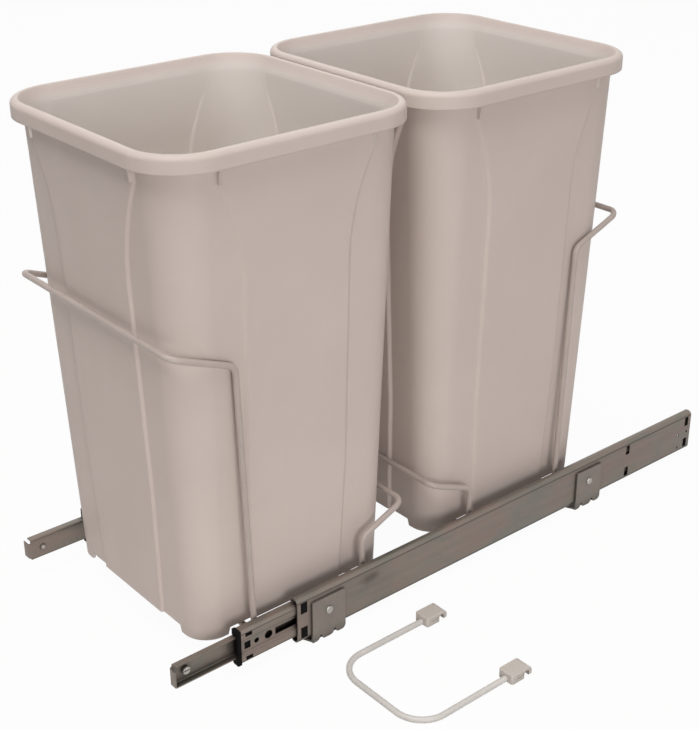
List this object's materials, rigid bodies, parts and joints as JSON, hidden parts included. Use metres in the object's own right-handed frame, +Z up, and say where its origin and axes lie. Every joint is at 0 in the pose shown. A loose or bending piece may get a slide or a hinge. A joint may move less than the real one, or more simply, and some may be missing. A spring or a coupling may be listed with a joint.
{
  "type": "pull-out waste bin unit",
  "caption": "Pull-out cabinet waste unit: tapered plastic bins stand in a wire frame carried on full-extension ball-bearing slides screwed to the cabinet floor.",
  "frame": {"origin": "centre of the four floor screw holes, on the cabinet floor", "axes": "+X to the right seen from the front, +Y to the rear of the cabinet, +Z up"},
  "size_m": [0.4312, 0.6818, 0.4705],
  "materials": {
    "bin_plastic": "fine satin moulded plastic",
    "painted_wire": "satin painted steel wire",
    "slide_steel": "zinc-plated drawn strip steel",
    "cage_steel": "thin pressed steel",
    "ball_steel": "polished ball steel",
    "bumper_plastic": "black moulded plastic",
    "fastener_steel": "zinc-plated fasteners",
    "bracket_steel": "zinc-plated pressed sheet",
    "handle_paint": "satin painted steel wire",
    "clip_plastic": "moulded plastic"
  },
  "bodies": {
    "cabinet_side": {"outer_member_left": "slide_steel", "outer_member_right": "slide_steel", "outer_stop_left": "bumper_plastic", "outer_stop_right": "bumper_plastic", "floor_bracket_front_left": "bracket_steel", "floor_bracket_front_right": "bracket_steel", "floor_bracket_rear_left": "bracket_steel", "floor_bracket_rear_right": "bracket_steel", "bracket_rivets": "fastener_steel"},
    "carriage": {"inner_member_left": "slide_steel", "inner_member_right": "slide_steel", "hoop_front_high": "painted_wire", "hoop_front_low": "painted_wire", "hoop_rear_low": "painted_wire", "hoop_rear_high": "painted_wire", "base_wire_front_left": "painted_wire", "base_wire_front_right": "painted_wire", "base_wire_rear_left": "painted_wire", "base_wire_rear_right": "painted_wire", "door_screws": "fastener_steel"},
    "front_bin": {"bin_front": "bin_plastic"},
    "rear_bin": {"bin_rear": "bin_plastic"},
    "loose_handle": {"handle_wire": "handle_paint", "handle_clip_left": "clip_plastic", "handle_clip_right": "clip_plastic"},
    "intermediate_left": {"intermediate_member_left": "slide_steel", "bumper_left": "bumper_plastic"},
    "outer_cage_left": {"outer_ball_cage_left": "cage_steel", "outer_balls_left": "ball_steel"},
    "inner_cage_left": {"inner_ball_cage_left": "cage_steel", "inner_balls_left": "ball_steel"},
    "intermediate_right": {"intermediate_member_right": "slide_steel", "bumper_right": "bumper_plastic"},
    "outer_cage_right": {"outer_ball_cage_right": "cage_steel", "outer_balls_right": "ball_steel"},
    "inner_cage_right": {"inner_ball_cage_right": "cage_steel", "inner_balls_right": "ball_steel"}
  },
  "joints": [
    {"name": "pull_out", "type": "slide", "parent": "cabinet_side", "child": "carriage", "axis": [0, -1, 0], "range_m": [-0.124, 0.431]},
    {"name": "intermediate_slide_left", "type": "slide", "parent": "cabinet_side", "child": "intermediate_left", "axis": [0, -1, 0], "range_m": [-0.062, 0.2155]},
    {"name": "outer_cage_slide_left", "type": "slide", "parent": "cabinet_side", "child": "outer_cage_left", "axis": [0, -1, 0], "range_m": [-0.031, 0.10775]},
    {"name": "inner_cage_slide_left", "type": "slide", "parent": "cabinet_side", "child": "inner_cage_left", "axis": [0, -1, 0], "range_m": [-0.093, 0.32325]},
    {"name": "intermediate_slide_right", "type": "slide", "parent": "cabinet_side", "child": "intermediate_right", "axis": [0, -1, 0], "range_m": [-0.062, 0.2155]},
    {"name": "outer_cage_slide_right", "type": "slide", "parent": "cabinet_side", "child": "outer_cage_right", "axis": [0, -1, 0], "range_m": [-0.031, 0.10775]},
    {"name": "inner_cage_slide_right", "type": "slide", "parent": "cabinet_side", "child": "inner_cage_right", "axis": [0, -1, 0], "range_m": [-0.093, 0.32325]},
    {"name": "front_bin_lift", "type": "slide", "parent": "carriage", "child": "front_bin", "axis": [0, 0, 1], "range_m": [0, 0.48]},
    {"name": "rear_bin_lift", "type": "slide", "parent": "carriage", "child": "rear_bin", "axis": [0, 0, 1], "range_m": [0, 0.48]},
    {"name": "handle_lift", "type": "slide", "parent": "cabinet_side", "child": "loose_handle", "axis": [0, 0, 1], "range_m": [0, 0.48]}
  ],
  "couplings": [
    {"joint": "intermediate_slide_left", "follows": "pull_out", "ratio": 0.5},
    {"joint": "outer_cage_slide_left", "follows": "pull_out", "ratio": 0.25},
    {"joint": "inner_cage_slide_left", "follows": "pull_out", "ratio": 0.75},
    {"joint": "intermediate_slide_right", "follows": "pull_out", "ratio": 0.5},
    {"joint": "outer_cage_slide_right", "follows": "pull_out", "ratio": 0.25},
    {"joint": "inner_cage_slide_right", "follows": "pull_out", "ratio": 0.75}
  ]
}
